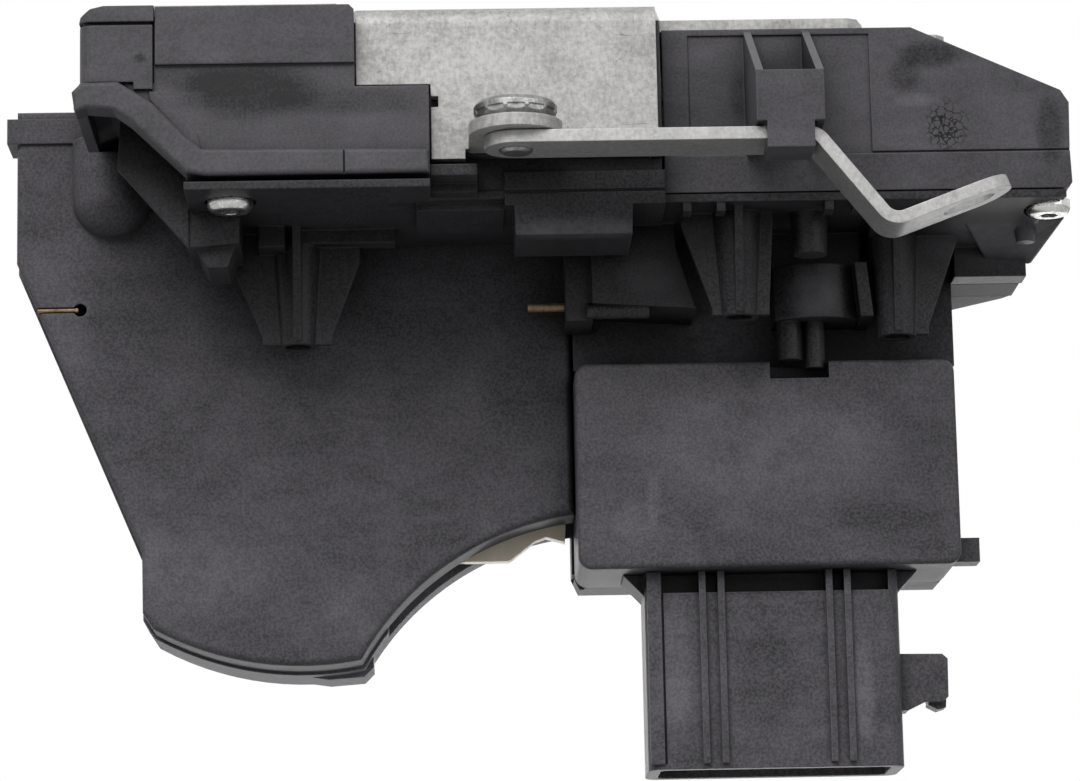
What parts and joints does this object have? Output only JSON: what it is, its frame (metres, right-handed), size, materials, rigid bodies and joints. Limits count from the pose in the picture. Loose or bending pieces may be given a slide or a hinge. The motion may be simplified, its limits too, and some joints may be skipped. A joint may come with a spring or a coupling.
{
  "type": "door latch actuator",
  "caption": "Side-door latch with a striker claw, a pawl, a release lever and a motorised worm-drive lock actuator with a plug socket.",
  "frame": {"origin": "axis of the middle face bolt, at the outer face of the latch's face plate", "axes": "+Z out of the face plate towards the door's shut face; +X along the plate towards the end with the outside lever's tip; +Y from the outside lever back through the striker mouth to the actuator"},
  "size_m": [0.1756, 0.0763, 0.121],
  "materials": {
    "galvanised_plate": "satin zinc-plated sheet with a fine mottle and small specks",
    "lever_steel": "grey zinc-plated strip, duller than the plate, with worn bright edges",
    "bright_steel": "bright zinc on turned and headed fasteners",
    "claw_steel": "hardened steel stampings, darkened, lightly oiled",
    "spring_steel": "round spring wire, satin",
    "latch_nylon": "dark grey glass-filled nylon, smooth and slightly dusty",
    "cover_nylon": "black glass-filled nylon, eggshell, with fine speckle",
    "actuator_nylon": "black glass-filled nylon, matte, finely speckled, with dusty greyer patches",
    "connector_nylon": "black polyester, matte, finely speckled",
    "cream_acetal": "natural cream acetal, faintly translucent look, satin gloss",
    "worm_brass": "machined brass with a light oil sheen",
    "motor_steel": "drawn and plated motor can",
    "terminal_tin": "tin-plated brass blades",
    "seal_rubber": "soft black silicone, matte",
    "skin_elastomer": "black elastomer skin over the claw, matte",
    "tan_wire": "tan enamelled wire, slightly dull",
    "carrier_plastic": "dark green-grey circuit carrier, matte"
  },
  "bodies": {
    "latch": {"face_plate": "galvanised_plate", "back_plate": "galvanised_plate", "latch_housing": "latch_nylon", "end_cap": "latch_nylon", "side_housing": "latch_nylon", "lower_cover": "cover_nylon", "actuator_cover": "actuator_nylon", "upper_cover": "actuator_nylon", "actuator_base": "actuator_nylon", "connector_box": "connector_nylon", "connector_shroud": "connector_nylon", "connector_seal": "seal_rubber", "connector_pins": "terminal_tin", "circuit_carrier": "carrier_plastic", "claw_pin": "bright_steel", "pawl_pin": "bright_steel", "claw_spring": "spring_steel", "pawl_spring": "spring_steel", "bump_stop": "seal_rubber", "lever_rivet": "bright_steel", "cover_screws": "bright_steel", "base_screws": "bright_steel", "hold_wire": "tan_wire", "link_pin": "tan_wire", "motor_can": "motor_steel", "motor_end_cap": "carrier_plastic", "gear_pin": "bright_steel", "lock_pin": "bright_steel", "inside_pin": "bright_steel", "inside_spring": "spring_steel", "lock_switch": "carrier_plastic", "latch_switch": "carrier_plastic"},
    "claw": {"claw": "claw_steel", "claw_overmould": "skin_elastomer"},
    "pawl": {"pawl": "claw_steel"},
    "outside_lever": {"outside_lever": "lever_steel"},
    "worm": {"motor_shaft": "bright_steel", "worm": "worm_brass"},
    "gear": {"worm_gear": "cream_acetal"},
    "lock": {"lock_lever": "cream_acetal"},
    "inside": {"inside_lever": "cream_acetal"}
  },
  "joints": [
    {"name": "claw_turn", "type": "hinge", "parent": "latch", "child": "claw", "pos_m": [-0.0505, -0.001, -0.0059], "axis": [0, 0, 1], "range_deg": [-60, 0], "stiffness_Nm_per_rad": 0.02, "springref_deg": 28.65, "deforming": ["claw_spring"]},
    {"name": "outside_lever_turn", "type": "hinge", "parent": "latch", "child": "outside_lever", "pos_m": [-0.0363, -0.025, -0.0254], "axis": [0, 0, 1], "range_deg": [0, 7], "stiffness_Nm_per_rad": 0.3, "springref_deg": -20.05},
    {"name": "pawl_turn", "type": "hinge", "parent": "latch", "child": "pawl", "pos_m": [-0.019, -0.004, -0.0059], "axis": [0, 0, 1], "range_deg": [0, 2.5], "deforming": ["pawl_spring"]},
    {"name": "gear_turn", "type": "hinge", "parent": "latch", "child": "gear", "pos_m": [-0.066, 0.0305, -0.058], "axis": [0, 1, 0], "range_deg": [-30, 30]},
    {"name": "worm_turn", "type": "hinge", "parent": "latch", "child": "worm", "pos_m": [-0.066, 0.0305, -0.08], "axis": [1, 0, 0], "range_deg": [-1080, 1080]},
    {"name": "lock_turn", "type": "hinge", "parent": "latch", "child": "lock", "pos_m": [-0.038, 0.0365, -0.047], "axis": [0, 1, 0], "range_deg": [-17, 17]},
    {"name": "inside_lever_turn", "type": "hinge", "parent": "latch", "child": "inside", "pos_m": [-0.034, 0.0307, -0.064], "axis": [0, 1, 0], "range_deg": [0, 14], "stiffness_Nm_per_rad": 0.01, "springref_deg": -22.92, "deforming": ["inside_spring"]}
  ],
  "couplings": [
    {"joint": "pawl_turn", "follows": "outside_lever_turn", "ratio": 0.35},
    {"joint": "worm_turn", "follows": "gear_turn", "ratio": 36},
    {"joint": "lock_turn", "follows": "gear_turn", "ratio": -0.565}
  ]
}
